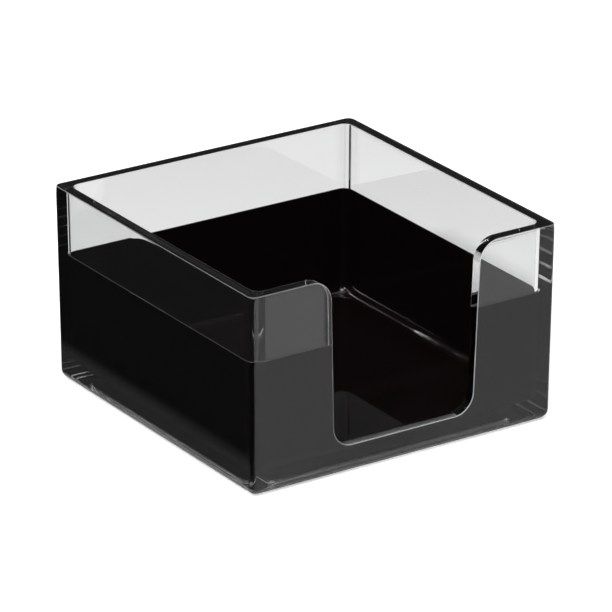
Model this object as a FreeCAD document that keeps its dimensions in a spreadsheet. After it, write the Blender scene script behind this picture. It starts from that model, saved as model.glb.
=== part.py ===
import FreeCAD, Part
import math
import os
import Sketcher
from FreeCAD import Vector

os.makedirs("parts", exist_ok=True)

# Napkin dispenser: an open-topped box of thick clear acrylic with a U-shaped reach-in
# cut-out in its front wall, and a thin black liner bonded into the lower two thirds of it.
# Millimetres, +Z up. The origin is the centre of the underside. The cut-out is at -Y.

DIMENSIONS = {
    "rim_width": 140.0,  # outside, along X, at the rim
    "rim_depth": 142.0,  # outside, along Y, at the rim
    "box_height": 82.0,
    "draft_angle": 0.6,  # degrees that every wall leans outwards, for the mould
    "wall_thickness": 4.6,
    "outer_corner_radius": 1.8,
    "inner_corner_radius": 4.0,
    "bottom_edge_radius": 4.0,
    "floor_height": 9.4,  # from the underside to the liner's floor
    "floor_edge_radius": 3.2,
    "liner_thickness": 1.0,
    "seam_height": 54.2,  # top edge of the black liner
    "cutout_half_width": 33.4,  # at the seam
    "cutout_side_angle": 1.8,  # degrees that each side of the cut-out leans outwards
    "cutout_bottom": 11.8,
    "cutout_bottom_radius": 8.5,
    "cutout_top_radius": 9.0,
    "recess_inset": 12.8,  # from the base's outline to the shallow recess in the underside
    "recess_depth": 1.5,
    "recess_corner_radius": 5.0,
    "recess_edge_radius": 0.8,
    "overshoot": 10.0,  # how far the cut-out's profile runs past the walls
}
Y_AXIS = -2  # the sketcher's number for its vertical axis
ORIGIN = (-1, 1)  # and for its origin point
START, END, CENTRE = 1, 2, 3  # and for the points of an edge
TOLERANCE = 0.01

document = FreeCAD.newDocument("napkin_dispenser")
sheet = document.addObject("Spreadsheet::Sheet", "dimensions")
for row, (alias, size) in enumerate(DIMENSIONS.items(), start=1):
    sheet.set(f"A{row}", alias)
    sheet.set(f"B{row}", str(size))
    sheet.setAlias(f"B{row}", alias)
document.recompute()


def value(alias):
    """A driving dimension, as the sheet holds it."""
    return float(sheet.get(alias))


def cell(alias):
    """The expression that reads a driving dimension."""
    return f"dimensions.{alias}"


def width_at(direction, drop, inset):
    """The expression for the box's width or depth at a drop below the rim, inset from each wall's outside."""
    lean = f"({drop}) * tan({cell('draft_angle')} * 1 deg)"
    return f"{cell('rim_' + direction)} - 2 * ({lean}) - 2 * ({inset})"


def new_body(label):
    """A sub-part, placed where it sits in the finished dispenser."""
    body = document.addObject("PartDesign::Body", label)
    body.Label = label
    body.Placement = FreeCAD.Placement()
    return body


def new_sketch(body, name, role, offset):
    """A sketch on one of the body's own origin planes, moved along the plane's normal."""
    plane = next(feature for feature in body.Origin.OriginFeatures if feature.Role == role)
    sketch = body.newObject("Sketcher::SketchObject", name)
    sketch.AttachmentSupport = [(plane, "")]
    sketch.MapMode = "FlatFace"
    sketch.setExpression("AttachmentOffset.Base.z", offset)
    return sketch


def rectangle(body, name, height, inset):
    """A rectangle about the Z axis, at a height above the underside, inset from the outside of each wall."""
    sketch = new_sketch(body, name, "XY_Plane", height)
    half = 50.0
    corners = [(-half, -half), (half, -half), (half, half), (-half, half)]
    for index, corner in enumerate(corners):
        following = corners[(index + 1) % len(corners)]
        sketch.addGeometry(Part.LineSegment(Vector(*corner, 0), Vector(*following, 0)))
    for index in range(len(corners)):
        sketch.addConstraint(Sketcher.Constraint("Coincident", index, END, (index + 1) % len(corners), START))
    for index, direction in enumerate(["Horizontal", "Vertical", "Horizontal", "Vertical"]):
        sketch.addConstraint(Sketcher.Constraint(direction, index))
    sketch.addConstraint(Sketcher.Constraint("Symmetric", 0, START, 2, START, *ORIGIN))
    drop = f"{cell('box_height')} - ({height})"
    for index, direction in enumerate(["width", "depth"]):
        number = sketch.addConstraint(Sketcher.Constraint("Distance", index, 2 * half))
        sketch.setExpression(f"Constraints[{number}]", width_at(direction, drop, inset))
    document.recompute()
    return sketch


def tapered(body, kind, name, sketch, length, outwards):
    """A Pad or Pocket of a horizontal sketch, whose sides follow the draft as it leaves the sketch."""
    feature = body.newObject(f"PartDesign::{kind}", name)
    feature.Profile = sketch
    feature.Reversed = kind == "Pad" and not outwards
    feature.setExpression("Length", length)
    sign = "" if outwards else "-"
    feature.setExpression("TaperAngle", f"{sign}{cell('draft_angle')}")
    document.recompute()
    return feature


def fillet(body, name, base, wanted, radius):
    """Rounds the edges of a feature that a test picks out."""
    numbered = enumerate(base.Shape.Edges, start=1)
    edges = [f"Edge{number}" for number, edge in numbered if wanted(edge.BoundBox)]
    feature = body.newObject("PartDesign::Fillet", name)
    feature.Base = (base, edges)
    feature.setExpression("Radius", radius)
    document.recompute()
    return feature


def level(box, height):
    """Whether an edge lies flat at a height."""
    return abs(box.ZMin - height) < TOLERANCE and abs(box.ZMax - height) < TOLERANCE


def upright(box, low, high):
    """Whether an edge runs from one height up to another."""
    return abs(box.ZMin - low) < TOLERANCE and abs(box.ZMax - high) < TOLERANCE


def reach(box):
    """How far an edge stands inside the outer walls' planes at the rim, at its nearest point."""
    across = value("rim_width") / 2 - max(abs(box.XMin), abs(box.XMax))
    along = value("rim_depth") / 2 - max(abs(box.YMin), abs(box.YMax))
    return min(across, along)


def inside(box):
    """Whether an edge belongs to the cavity and not to the outside of the box."""
    return reach(box) > value("wall_thickness") - value("liner_thickness") - TOLERANCE


def outside_block(body):
    """The outside of the box as a solid block."""
    footprint = rectangle(body, "footprint", "0", "0")
    block = tapered(body, "Pad", "block", footprint, cell("box_height"), outwards=True)
    bottom = fillet(body, "bottom_edges", block, lambda box: level(box, 0), cell("bottom_edge_radius"))
    height = value("box_height")
    return fillet(
        body,
        "outer_corners",
        bottom,
        lambda box: abs(box.ZMax - height) < TOLERANCE and box.ZLength > height / 2,
        cell("outer_corner_radius"),
    )


def pocket_down(body, name, top, bottom, inset, corner_radius, floor_radius):
    """A drafted pocket from one height down to another, with rounded corners and, if asked, floor edges."""
    mouth = rectangle(body, f"{name}_mouth", cell(top), inset)
    hollow = tapered(body, "Pocket", name, mouth, f"{cell(top)} - ({bottom[0]})", outwards=False)
    high = value(top)
    low = bottom[1]
    corners = fillet(
        body, f"{name}_corners", hollow, lambda box: upright(box, low, high) and inside(box), corner_radius
    )
    if not floor_radius:
        return corners
    return fillet(
        body, f"{name}_floor_edges", corners, lambda box: level(box, low) and inside(box), floor_radius
    )


def cutout_sketch(body):
    """The U of the cut-out, seen from the front, open above the rim."""
    sketch = new_sketch(body, "cutout_profile", "XZ_Plane", "0")
    angle = math.radians(value("cutout_side_angle"))
    seam, bottom, top = value("seam_height"), value("cutout_bottom"), value("box_height")
    low_radius, high_radius = value("cutout_bottom_radius"), value("cutout_top_radius")

    def side_x(height):
        return value("cutout_half_width") + (height - seam) * math.tan(angle)

    low_centre_z = bottom + low_radius
    low_centre_x = side_x(low_centre_z) - low_radius / math.cos(angle)
    high_centre_z = top - high_radius
    high_centre_x = side_x(high_centre_z) + high_radius / math.cos(angle)
    low_end = Vector(
        low_centre_x + low_radius * math.cos(angle), low_centre_z - low_radius * math.sin(angle), 0
    )
    high_end = Vector(
        high_centre_x - high_radius * math.cos(angle), high_centre_z + high_radius * math.sin(angle), 0
    )
    over = top + value("overshoot")

    def mirrored(point):
        return Vector(-point.x, point.y, 0)

    def arc(centre, radius, first, last):
        circle = Part.Circle(centre, Vector(0, 0, 1), radius)
        return Part.ArcOfCircle(circle, first, last)

    quarter = math.pi / 2
    low_centre, high_centre = Vector(low_centre_x, low_centre_z, 0), Vector(high_centre_x, high_centre_z, 0)
    rim_end, over_end = Vector(high_centre_x, top, 0), Vector(high_centre_x, over, 0)
    base_end = Vector(low_centre_x, bottom, 0)
    outline = [
        Part.LineSegment(mirrored(base_end), base_end),
        arc(low_centre, low_radius, -quarter, -angle),
        Part.LineSegment(low_end, high_end),
        arc(high_centre, high_radius, quarter, 2 * quarter - angle),
        Part.LineSegment(rim_end, over_end),
        Part.LineSegment(over_end, mirrored(over_end)),
        Part.LineSegment(mirrored(over_end), mirrored(rim_end)),
        arc(mirrored(high_centre), high_radius, angle, quarter),
        Part.LineSegment(mirrored(high_end), mirrored(low_end)),
        arc(mirrored(low_centre), low_radius, 2 * quarter + angle, 3 * quarter),
    ]
    base, low_right, side_right, high_right, up_right, lid, up_left, high_left, side_left, low_left = (
        sketch.addGeometry(outline)
    )
    seam_point = sketch.addGeometry(Part.Point(Vector(side_x(seam), seam, 0)), True)
    smooth = [
        (base, END, low_right, START),
        (low_right, END, side_right, START),
        (side_right, END, high_right, END),
        (high_left, START, side_left, START),
        (side_left, END, low_left, START),
        (low_left, END, base, START),
    ]
    for joint in smooth:
        sketch.addConstraint(Sketcher.Constraint("Tangent", *joint))
    joined = [
        (high_right, START, up_right, START),
        (up_right, END, lid, START),
        (lid, END, up_left, START),
        (up_left, END, high_left, END),
    ]
    for joint in joined:
        sketch.addConstraint(Sketcher.Constraint("Coincident", *joint))
    for line in (up_right, up_left):
        sketch.addConstraint(Sketcher.Constraint("Vertical", line))
    for line in (base, lid):
        sketch.addConstraint(Sketcher.Constraint("Horizontal", line))
    for arc_end, end in ((high_right, START), (high_left, END)):
        sketch.addConstraint(Sketcher.Constraint("Vertical", arc_end, CENTRE, arc_end, end))
    sketch.addConstraint(Sketcher.Constraint("Equal", high_right, high_left))
    for left, right in ((low_left, low_right), (high_left, high_right)):
        sketch.addConstraint(Sketcher.Constraint("Symmetric", left, CENTRE, right, CENTRE, Y_AXIS))
    sketch.addConstraint(Sketcher.Constraint("PointOnObject", seam_point, START, side_right))

    sizes = [
        (("Radius", low_right, low_radius), cell("cutout_bottom_radius")),
        (("Radius", high_right, high_radius), cell("cutout_top_radius")),
        (("DistanceY", *ORIGIN, base, END, bottom), cell("cutout_bottom")),
        (("DistanceY", *ORIGIN, up_right, START, top), cell("box_height")),
        (("DistanceY", up_right, START, up_right, END, over - top), cell("overshoot")),
        (("DistanceY", *ORIGIN, seam_point, START, seam), cell("seam_height")),
        (("DistanceX", *ORIGIN, seam_point, START, side_x(seam)), cell("cutout_half_width")),
        (("Angle", side_right, 2 * math.pi / 4 - angle), f"90 deg - {cell('cutout_side_angle')} * 1 deg"),
    ]
    for arguments, expression in sizes:
        number = sketch.addConstraint(Sketcher.Constraint(*arguments))
        sketch.setExpression(f"Constraints[{number}]", expression)
    document.recompute()
    return sketch


def cut_front(body):
    """Cuts the U through the front wall, from the middle of the box outwards."""
    feature = body.newObject("PartDesign::Pocket", "cutout")
    feature.Profile = cutout_sketch(body)
    feature.Reversed = True
    feature.setExpression("Length", f"{cell('rim_depth')} / 2 + {cell('overshoot')}")
    document.recompute()
    return feature


def underside_recess(body):
    """A shallow recess that leaves the base standing on a broad flat border."""
    outline = rectangle(body, "recess_outline", "0", cell("recess_inset"))
    recess = body.newObject("PartDesign::Pocket", "recess")
    recess.Profile = outline
    recess.Reversed = True
    recess.setExpression("Length", cell("recess_depth"))
    document.recompute()
    depth = value("recess_depth")
    corners = fillet(
        body, "recess_corners", recess, lambda box: upright(box, 0, depth), cell("recess_corner_radius")
    )
    fillet(body, "recess_edges", corners, lambda box: level(box, depth), cell("recess_edge_radius"))


def clear_shell():
    """The clear acrylic box: its inside is stepped back below the seam to take the liner flush."""
    body = new_body("clear_shell")
    outside_block(body)
    seam = value("seam_height")
    pocket_down(
        body,
        "cavity",
        "box_height",
        (cell("seam_height"), seam),
        cell("wall_thickness"),
        cell("inner_corner_radius"),
        None,
    )
    pocket_down(
        body,
        "liner_seat",
        "seam_height",
        (
            f"{cell('floor_height')} - {cell('liner_thickness')}",
            value("floor_height") - value("liner_thickness"),
        ),
        f"{cell('wall_thickness')} - {cell('liner_thickness')}",
        f"{cell('inner_corner_radius')} + {cell('liner_thickness')}",
        f"{cell('floor_edge_radius')} + {cell('liner_thickness')}",
    )
    cut_front(body)
    underside_recess(body)
    return body


def black_liner():
    """The black tray with the same cut-out, whose inside is flush with the clear wall above it."""
    body = new_body("black_liner")
    low = value("floor_height") - value("liner_thickness")
    high = value("seam_height")
    mouth = rectangle(
        body, "mouth", cell("seam_height"), f"{cell('wall_thickness')} - {cell('liner_thickness')}"
    )
    length = f"{cell('seam_height')} - {cell('floor_height')} + {cell('liner_thickness')}"
    tapered(body, "Pad", "block", mouth, length, outwards=False)
    tray = pocket_down(
        body,
        "inside",
        "seam_height",
        (cell("floor_height"), value("floor_height")),
        cell("wall_thickness"),
        cell("inner_corner_radius"),
        cell("floor_edge_radius"),
    )
    corners = fillet(
        body,
        "outer_corners",
        tray,
        lambda box: upright(box, low, high),
        f"{cell('inner_corner_radius')} + {cell('liner_thickness')}",
    )
    fillet(
        body,
        "bottom_edges",
        corners,
        lambda box: level(box, low),
        f"{cell('floor_edge_radius')} + {cell('liner_thickness')}",
    )
    cut_front(body)
    return body


parts = [clear_shell(), black_liner()]
document.recompute()
for item in document.Objects:
    if {"Invalid", "Error"} & set(item.State):
        raise RuntimeError(f"{item.Name} is {item.State}: {item.getStatusString()}")
for part in parts:
    if part.Shape.isNull() or not part.Shape.isValid():
        raise RuntimeError(f"{part.Label} has no valid shape")
for part in parts:
    part.Shape.exportStep(f"parts/{part.Label}.step")
    box = part.Shape.BoundBox
    print(part.Label, [round(n, 2) for n in (box.XMin, box.XMax, box.YMin, box.YMax, box.ZMin, box.ZMax)])
    print("  solids", len(part.Shape.Solids), "volume", round(part.Shape.Volume))
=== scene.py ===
from math import cos, pi, radians, sin, tan

import bmesh
import bpy
from mathutils import Euler, Matrix, Vector


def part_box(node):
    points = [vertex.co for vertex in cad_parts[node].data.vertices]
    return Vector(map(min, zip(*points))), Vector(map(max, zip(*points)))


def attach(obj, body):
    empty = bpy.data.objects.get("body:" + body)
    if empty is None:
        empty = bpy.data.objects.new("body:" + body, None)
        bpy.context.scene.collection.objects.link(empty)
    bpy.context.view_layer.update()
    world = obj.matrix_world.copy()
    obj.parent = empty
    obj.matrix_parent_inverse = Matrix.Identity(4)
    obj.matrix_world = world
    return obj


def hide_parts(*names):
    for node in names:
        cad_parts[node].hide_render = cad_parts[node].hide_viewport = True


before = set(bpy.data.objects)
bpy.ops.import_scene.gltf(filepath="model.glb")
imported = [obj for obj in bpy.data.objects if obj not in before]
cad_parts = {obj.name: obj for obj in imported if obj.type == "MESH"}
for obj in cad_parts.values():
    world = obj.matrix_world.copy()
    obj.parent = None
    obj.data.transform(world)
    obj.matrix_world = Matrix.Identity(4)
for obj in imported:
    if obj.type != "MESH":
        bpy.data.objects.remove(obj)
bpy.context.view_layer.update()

MM = 0.001
shell_low, shell_high = (Vector(corner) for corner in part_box("clear_shell"))
liner_low, liner_high = (Vector(corner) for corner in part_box("black_liner"))

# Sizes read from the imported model
RIM_HALF_X = (shell_high.x - shell_low.x) / 2
RIM_HALF_Y = (shell_high.y - shell_low.y) / 2
RIM_Z = shell_high.z
SEAM_Z = liner_high.z
LINER_BOTTOM_Z = liner_low.z

# Sizes that the boxes don't give
DRAFT = tan(radians(0.6))  # lean of every wall
LINER = 1.0 * MM  # thickness of the black lining
WALL = RIM_HALF_X - DRAFT * (RIM_Z - SEAM_Z) - liner_high.x + LINER
FLOOR_Z = LINER_BOTTOM_Z + LINER
OUTER_CORNER = 1.8 * MM
INNER_CORNER = 4.0 * MM
BOTTOM_EDGE = 4.0 * MM
FLOOR_EDGE = 3.2 * MM
CUT_EDGE = 0.25 * MM  # round along the rim and the notch
LINER_EDGE = 0.1 * MM  # round along the lining's edges
SWELL_START = 4.0 * MM  # depth below the rim where the flame-polished outside starts to swell
SWELL_SHRINK = 0.79  # each ring of the swelling has this part of the last one's depth
SWELL_STEP = 0.0106 * MM  # and stands this much further out
SWELL_RINGS = 11
CORNER_SOFTENING = 9  # how much faster the corner radius grows than the swelling
RECESS_INSET = 12.8 * MM  # the shallow recess in the underside
RECESS_DEPTH = 1.5 * MM
RECESS_CORNER = 5.0 * MM
RECESS_EDGE = 0.8 * MM
PROUD = 0.02 * MM  # how far the bonded lining covers the clear surface behind it

# The notch
NOTCH_HALF = 33.4 * MM  # at the seam
NOTCH_LEAN = radians(1.8)
NOTCH_BOTTOM = 11.8 * MM
NOTCH_LOW_RADIUS = 8.5 * MM
NOTCH_HIGH_RADIUS = 9.0 * MM
NOTCH_REACH = 25 * MM  # how far in from the front the notch's cut goes
OVERSHOOT = 10 * MM  # how far it starts outside the box

# How finely the meshes are made
NEAR_POINTS = 0.05 * MM  # points closer than this are one point
ROUNDED_TURN = radians(40)  # edges that turn by more than this are rounded
SHARP_TURN = radians(35)  # and those left that turn by more than this are shaded sharp
CORNER_STEPS = 12
EDGE_STEPS = 14
ARC_STEPS = 28
BEVEL_STEPS = 4
LINER_BEVEL_STEPS = 2

# Colours and optics
CLEAR_FACES, NOTCH_EDGES, RIM_EDGES = range(3)  # material indexes of the shell
BONDED_FACES, OPEN_FACES, SEAM_FACE = range(3)  # and of the lining
CLEAR = (0.98, 0.985, 0.985, 1)
# near-white tint of the edge rounds: painted highlight, so they show as light lines
EDGE_PAINTED_HIGHLIGHT_TINT = (0.9, 0.92, 0.93, 1)
BLACK = (0.003, 0.0018, 0.0019, 1)
WHITE = (1, 1, 1, 1)
ACRYLIC_IOR = 1.49


def half_sizes(z, inset):
    """Half the box's outside width and depth at a height, less an inset from each wall."""
    lean = DRAFT * (RIM_Z - z)
    return RIM_HALF_X - lean - inset, RIM_HALF_Y - lean - inset


def ring(z, inset, radius):
    """Points round a rounded rectangle at one height."""
    half_x, half_y = half_sizes(z, inset)
    points = []
    for corner, (side_x, side_y) in enumerate([(1, 1), (-1, 1), (-1, -1), (1, -1)]):
        centre = Vector((side_x * (half_x - radius), side_y * (half_y - radius), z))
        for step in range(CORNER_STEPS + 1):
            angle = (corner + step / CORNER_STEPS) * pi / 2
            points.append(centre + radius * Vector((cos(angle), sin(angle), 0)))
    return points


def edge_rings(z, inset, radius, corner, corner_follows):
    """Rings up a rounded floor or bottom edge, from flat to upright."""
    rings = []
    for step in range(EDGE_STEPS + 1):
        angle = step / EDGE_STEPS * pi / 2
        inward = radius * (1 - sin(angle))
        plan_radius = corner - inward if corner_follows else corner
        rings.append(ring(z + radius * (1 - cos(angle)), inset + inward, plan_radius))
    return rings


def lofted(name, rings, slots):
    """A closed mesh through rings, capped at both ends.

    slots holds a material index for the first cap, for each gap between rings, and for the last cap.
    """
    mesh = bpy.data.meshes.new(name)
    model = bmesh.new()
    rows = [[model.verts.new(point) for point in points] for points in rings]
    for index, (low, high) in enumerate(zip(rows, rows[1:])):
        for i in range(len(low)):
            j = (i + 1) % len(low)
            face = model.faces.new((low[i], low[j], high[j], high[i]))
            face.material_index = slots[index + 1]
    model.faces.new(reversed(rows[0])).material_index = slots[0]
    model.faces.new(rows[-1]).material_index = slots[-1]
    bmesh.ops.recalc_face_normals(model, faces=model.faces)
    model.to_mesh(mesh)
    model.free()
    piece = bpy.data.objects.new(name, mesh)
    bpy.context.scene.collection.objects.link(piece)
    return piece


def notch_outline(shrink):
    """The notch's U in X and Z, from the upper right round to the upper left.

    It is made smaller by shrink all round.
    """
    half = NOTCH_HALF - shrink
    low_radius, high_radius = NOTCH_LOW_RADIUS - shrink, NOTCH_HIGH_RADIUS + shrink
    low_z = NOTCH_BOTTOM + shrink + low_radius
    high_z = RIM_Z - NOTCH_HIGH_RADIUS

    def side(z):
        return half + (z - SEAM_Z) * tan(NOTCH_LEAN)

    low_x = side(low_z) - low_radius / cos(NOTCH_LEAN)
    high_x = side(high_z) + high_radius / cos(NOTCH_LEAN)
    right = [(high_x, RIM_Z + OVERSHOOT)]
    for step in range(ARC_STEPS + 1):
        angle = pi / 2 + step / ARC_STEPS * (pi / 2 - NOTCH_LEAN)
        right.append((high_x + high_radius * cos(angle), high_z + high_radius * sin(angle)))
    for step in range(ARC_STEPS + 1):
        angle = -NOTCH_LEAN - step / ARC_STEPS * (pi / 2 - NOTCH_LEAN)
        right.append((low_x + low_radius * cos(angle), low_z + low_radius * sin(angle)))
    return right + [(-x, z) for x, z in reversed(right)]


def cut_notch(piece, shrink, slot):
    """Cuts the notch through the front wall of a piece."""
    outline = notch_outline(shrink)
    model = bmesh.new()
    near, far = -RIM_HALF_Y - OVERSHOOT, -RIM_HALF_Y + NOTCH_REACH
    front = [model.verts.new((x, near, z)) for x, z in outline]
    back = [model.verts.new((x, far, z)) for x, z in outline]
    for i in range(len(outline)):
        j = (i + 1) % len(outline)
        model.faces.new((front[i], front[j], back[j], back[i]))
    model.faces.new(front)
    model.faces.new(back)
    bmesh.ops.recalc_face_normals(model, faces=model.faces)
    for face in model.faces:
        face.material_index = slot
    mesh = bpy.data.meshes.new("notch_cutter")
    model.to_mesh(mesh)
    model.free()
    for material in piece.data.materials:
        mesh.materials.append(material)
    cutter = bpy.data.objects.new("notch_cutter", mesh)
    bpy.context.scene.collection.objects.link(cutter)
    boolean = piece.modifiers.new("notch", "BOOLEAN")
    boolean.object = cutter
    boolean.operation = "DIFFERENCE"
    boolean.solver = "EXACT"
    bake_modifiers(piece)
    bpy.data.objects.remove(cutter)


def bake_modifiers(piece):
    """Replaces a piece's mesh with what its modifiers make of it."""
    graph = bpy.context.evaluated_depsgraph_get()
    mesh = bpy.data.meshes.new_from_object(piece.evaluated_get(graph))
    piece.modifiers.clear()
    piece.data = mesh


def join_near_points(piece):
    """Joins the points that the notch's cut leaves almost on top of each other."""
    model = bmesh.new()
    model.from_mesh(piece.data)
    bmesh.ops.remove_doubles(model, verts=model.verts, dist=NEAR_POINTS)
    bmesh.ops.dissolve_degenerate(model, dist=NEAR_POINTS, edges=model.edges)
    model.to_mesh(piece.data)
    model.free()


def finish_edges(piece, width, segments, slot=-1):
    """Rounds the sharp edges and shades the flats flat and the rounds smooth.

    slot is the rounds' material index, or -1 for that of the faces beside them.
    """
    join_near_points(piece)
    bevel = piece.modifiers.new("edges", "BEVEL")
    bevel.use_clamp_overlap = False
    bevel.width = width
    bevel.segments = segments
    bevel.limit_method = "ANGLE"
    bevel.angle_limit = ROUNDED_TURN
    bevel.miter_outer = "MITER_ARC"
    bevel.material = slot
    bake_modifiers(piece)
    piece.data.shade_smooth()
    piece.data.set_sharp_from_angle(angle=SHARP_TURN)
    weighted = piece.modifiers.new("normals", "WEIGHTED_NORMAL")
    weighted.weight = 100
    weighted.keep_sharp = True
    bake_modifiers(piece)


def new_material(name):
    """A new material, with its nodes, its links and its main shader."""
    material = bpy.data.materials.new(name)
    material.use_nodes = True
    nodes = material.node_tree.nodes
    return material, nodes, material.node_tree.links, nodes["Principled BSDF"]


def map_range(nodes, from_low, from_high, to_low, to_high):
    """A node that turns one span of values into another."""
    node = nodes.new("ShaderNodeMapRange")
    node.inputs["From Min"].default_value = from_low
    node.inputs["From Max"].default_value = from_high
    node.inputs["To Min"].default_value = to_low
    node.inputs["To Max"].default_value = to_high
    return node


def polish_marks(nodes, links, shader, low, high, scale):
    """Faint uneven polish: roughness that wanders a little over the surface."""
    place = nodes.new("ShaderNodeTexCoord")
    noise = nodes.new("ShaderNodeTexNoise")
    noise.inputs["Scale"].default_value = scale
    noise.inputs["Detail"].default_value = 4
    spread = map_range(nodes, 0.35, 0.7, low, high)
    links.new(place.outputs["Object"], noise.inputs["Vector"])
    links.new(noise.outputs["Fac"], spread.inputs["Value"])
    links.new(spread.outputs["Result"], shader.inputs["Roughness"])


def clear_acrylic():
    """The walls and the floor, as clear as glass."""
    material, nodes, links, shader = new_material("clear_acrylic")
    shader.inputs["Base Color"].default_value = CLEAR
    shader.inputs["Transmission Weight"].default_value = 1
    shader.inputs["IOR"].default_value = ACRYLIC_IOR
    polish_marks(nodes, links, shader, 0.0, 0.006, 60)
    return material


def edge_acrylic_painted_highlight(name, clearness):
    """The same acrylic along its edges, rougher, partly whitish and diffuse, which paints a highlight: the
    rounds show as light lines under the lamps.
    """
    material, nodes, links, shader = new_material(name)
    # painted highlight: a near-white tint, with part of the light scattered instead of passed through
    shader.inputs["Base Color"].default_value = EDGE_PAINTED_HIGHLIGHT_TINT
    shader.inputs["Transmission Weight"].default_value = clearness
    shader.inputs["IOR"].default_value = ACRYLIC_IOR
    polish_marks(nodes, links, shader, 0.3, 0.45, 90)
    return material


def black_gloss():
    """The lining's open faces."""
    material, nodes, links, shader = new_material("black_gloss")
    shader.inputs["Base Color"].default_value = BLACK
    shader.inputs["IOR"].default_value = ACRYLIC_IOR
    polish_marks(nodes, links, shader, 0.01, 0.03, 60)
    return material


def black_bonded():
    """The same black, seen through the clear wall that it is bonded to, so without a gloss of its own."""
    material, nodes, links, shader = new_material("black_bonded")
    shader.inputs["Base Color"].default_value = BLACK
    shader.inputs["Specular IOR Level"].default_value = 0
    polish_marks(nodes, links, shader, 0.8, 1.0, 60)
    return material


def black_seam():
    """The lining's top edge, with a film of air over it: a mirror at a low angle and black from above."""
    material, nodes, links, shader = new_material("black_seam")
    shader.inputs["Base Color"].default_value = BLACK
    shader.inputs["Specular IOR Level"].default_value = 0
    mirror = nodes.new("ShaderNodeBsdfGlossy")
    polish_marks(nodes, links, mirror, 0.01, 0.03, 60)
    fresnel = nodes.new("ShaderNodeFresnel")
    fresnel.inputs["IOR"].default_value = 1 / ACRYLIC_IOR
    mix = nodes.new("ShaderNodeMixShader")
    links.new(fresnel.outputs["Fac"], mix.inputs["Fac"])
    links.new(shader.outputs["BSDF"], mix.inputs[1])
    links.new(mirror.outputs["BSDF"], mix.inputs[2])
    links.new(mix.outputs["Shader"], nodes["Material Output"].inputs["Surface"])
    return material


def recess_rings():
    """Rings down the recess in the underside, from its rounded ceiling edge to the base."""
    rings = []
    for step in range(EDGE_STEPS + 1):
        angle = step / EDGE_STEPS * pi / 2
        inward = RECESS_EDGE * (1 - sin(angle))
        z = RECESS_DEPTH - RECESS_EDGE * (1 - cos(angle))
        rings.append(ring(z, RECESS_INSET - DRAFT * z + inward, RECESS_CORNER - inward))
    rings.append(ring(0, RECESS_INSET, RECESS_CORNER))
    return rings


def rim_ring(depth, step):
    """The outside near the rim, where flame polishing has swollen the wall and softened its corners."""
    swell = step * SWELL_STEP
    return ring(RIM_Z - depth, -swell, OUTER_CORNER + CORNER_SOFTENING * swell)


def finish_rim(shell):
    """Gives the rounds along the rim their own material, clearer than the notch's, so their painted
    highlight is fainter.
    """
    for face in shell.data.polygons:
        if face.material_index == NOTCH_EDGES and face.center.z > RIM_Z - CUT_EDGE:
            face.material_index = RIM_EDGES


def make_shell():
    """The clear box, from the recess under it, up the outside, over the rim and down to the floor."""
    rings = recess_rings() + edge_rings(0, 0, BOTTOM_EDGE, OUTER_CORNER, False)
    for step in range(SWELL_RINGS):
        rings.append(rim_ring(SWELL_START * SWELL_SHRINK ** step, step))
    rings.append(rim_ring(0, SWELL_RINGS - 1))
    rings.append(ring(RIM_Z, WALL, INNER_CORNER))
    rings += reversed(edge_rings(FLOOR_Z, WALL, FLOOR_EDGE, INNER_CORNER, True))
    shell = lofted("clear_shell_visual", rings, [CLEAR_FACES] * (len(rings) + 1))
    shell.data.materials.append(clear_acrylic())
    # the edge rounds get a whitish, partly diffuse material: painted highlight, stronger on the notch than
    # on the rim
    shell.data.materials.append(edge_acrylic_painted_highlight("notch_edge_painted_highlight", 0.6))
    shell.data.materials.append(edge_acrylic_painted_highlight("rim_edge_painted_highlight", 0.85))
    cut_notch(shell, 0, CLEAR_FACES)
    finish_edges(shell, CUT_EDGE, BEVEL_STEPS, NOTCH_EDGES)
    finish_rim(shell)
    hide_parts("clear_shell")
    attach(shell, "root")


def make_liner():
    """The black lining, with its bonded faces just inside the clear box and its open ones just over it."""
    outside = edge_rings(FLOOR_Z - LINER, WALL - LINER, FLOOR_EDGE + LINER, INNER_CORNER + LINER, True)
    outside.append(ring(SEAM_Z, WALL - LINER, INNER_CORNER + LINER))
    inside = [ring(SEAM_Z, WALL + PROUD, INNER_CORNER)]
    inside += reversed(edge_rings(FLOOR_Z + PROUD, WALL + PROUD, FLOOR_EDGE, INNER_CORNER, True))
    rings = outside + inside
    slots = [BONDED_FACES] * len(outside) + [SEAM_FACE] + [OPEN_FACES] * len(inside)
    liner = lofted("black_liner_visual", rings, slots)
    liner.data.materials.append(black_bonded())
    liner.data.materials.append(black_gloss())
    liner.data.materials.append(black_seam())
    cut_notch(liner, PROUD, OPEN_FACES)
    finish_edges(liner, LINER_EDGE, LINER_BEVEL_STEPS)
    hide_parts("black_liner")
    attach(liner, "root")


def stage_plane(name, size_x, size_y, centre):
    """A flat rectangle of the studio, not part of the object."""
    mesh = bpy.data.meshes.new(name)
    x, y = size_x / 2, size_y / 2
    mesh.from_pydata([(-x, -y, 0), (x, -y, 0), (x, y, 0), (-x, y, 0)], [], [(0, 1, 2, 3)])
    plane = bpy.data.objects.new(name, mesh)
    plane.location = centre
    bpy.context.scene.collection.objects.link(plane)
    return plane


def table_material():
    """A white table, bleached out where the camera sees it directly."""
    material, nodes, links, shader = new_material("white_table")
    shader.inputs["Base Color"].default_value = (0.8, 0.8, 0.8, 1)
    shader.inputs["Roughness"].default_value = 0.7
    shader.inputs["Specular IOR Level"].default_value = 0.1
    path = nodes.new("ShaderNodeLightPath")
    glow = nodes.new("ShaderNodeMath")
    glow.operation = "MULTIPLY"
    glow.inputs[1].default_value = 0.5
    links.new(path.outputs["Is Camera Ray"], glow.inputs[0])
    shader.inputs["Emission Color"].default_value = WHITE
    links.new(glow.outputs["Value"], shader.inputs["Emission Strength"])
    return material


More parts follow.
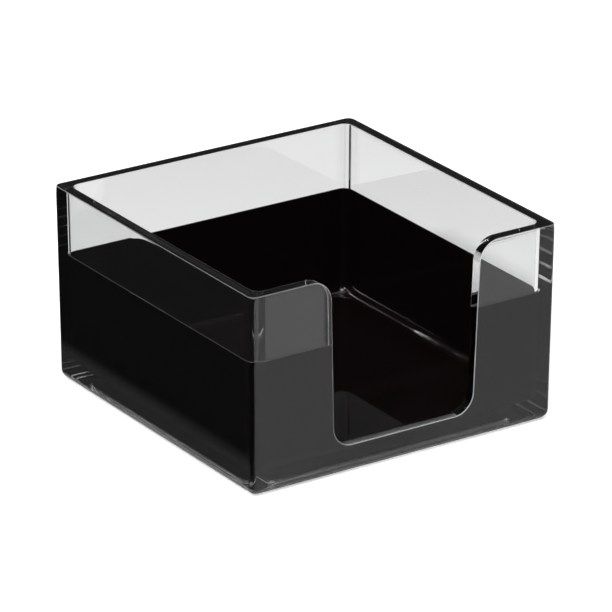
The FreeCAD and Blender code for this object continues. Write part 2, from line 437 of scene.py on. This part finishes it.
def card_and_painted_shade_material(half_width):
    """Black, fading to grey along the edge by the box: the grey is painted shade, standing in for the
    dimly lit white table between the card and the box.
    """
    material, nodes, links, shader = new_material("dark_card")
    shader.inputs["Specular IOR Level"].default_value = 0
    place = nodes.new("ShaderNodeTexCoord")
    split = nodes.new("ShaderNodeSeparateXYZ")
    # painted shade: the card turns grey near the box, where the table would lie in shade
    painted_shade_fade = map_range(nodes, half_width - 20 * MM, half_width - 11 * MM, 0.03, 0.18)
    painted_shade_fade.interpolation_type = "SMOOTHSTEP"
    links.new(place.outputs["Object"], split.inputs["Vector"])
    links.new(split.outputs["X"], painted_shade_fade.inputs["Value"])
    links.new(painted_shade_fade.outputs["Result"], shader.inputs["Base Color"])
    return material


def softbox(name, place, size, power):
    """A square lamp aimed at the box."""
    lamp = bpy.data.lights.new(name, "AREA")
    lamp.shape = "SQUARE"
    lamp.size = size
    lamp.energy = power
    box = bpy.data.objects.new(name, lamp)
    box.location = place
    box.rotation_euler = (-box.location).to_track_quat("-Z", "Y").to_euler()
    bpy.context.scene.collection.objects.link(box)


def make_card():
    """A dark card on the table that the left wall mirrors. It casts no shadow and isn't seen directly. Its
    grey edge by the box is painted shade.
    """
    half_width = 0.3
    length = 1.2
    gap = 1.5 * MM
    centre = (-RIM_HALF_X - gap - half_width, 0.2, 0.05 * MM)
    card = stage_plane("dark_card", 2 * half_width, length, centre)
    card.data.materials.append(card_and_painted_shade_material(half_width))
    card.visible_camera = False
    card.visible_diffuse = False
    card.visible_shadow = False


def make_studio():
    """The table, the card, a dim white surround and four lamps."""
    table_side = 6
    table = stage_plane("table", table_side, table_side, (0, 0, -0.2 * MM))
    table.data.materials.append(table_material())
    make_card()

    world = bpy.data.worlds.new("studio")
    world.use_nodes = True
    background = world.node_tree.nodes["Background"]
    background.inputs["Color"].default_value = WHITE
    background.inputs["Strength"].default_value = 0.08
    bpy.context.scene.world = world

    softbox("overhead", (0, -0.5, 1.2), 0.8, 12.5)
    softbox("left_lamp", (-1.78, -1.0, 1.92), 0.2, 40)
    softbox("left_back_lamp", (-1.56, 0.4, 1.94), 0.15, 12)
    softbox("back_lamp", (-0.1, 1.007, 0.82), 0.06, 0.3)


def make_camera():
    """A long lens from the front left, looking down at the box."""
    down, left, roll = radians(22.236), radians(33.624), radians(0.167)
    camera = bpy.data.objects.new("camera", bpy.data.cameras.new("camera"))
    camera.data.sensor_width = 36
    camera.data.lens = 307.9
    camera.data.clip_start = 0.05
    camera.location = (-1.0488, -1.5794, 0.8143)
    aim = Euler((pi / 2 - down, 0, -left)).to_matrix()
    camera.rotation_euler = (aim @ Matrix.Rotation(roll, 3, "Z")).to_euler()
    bpy.context.scene.collection.objects.link(camera)
    bpy.context.scene.camera = camera


make_shell()
make_liner()
make_studio()
make_camera()

scene = bpy.context.scene
scene.view_settings.view_transform = "Standard"
scene.cycles.max_bounces = 24
scene.cycles.transmission_bounces = 24
scene.cycles.glossy_bounces = 16
scene.cycles.diffuse_bounces = 4
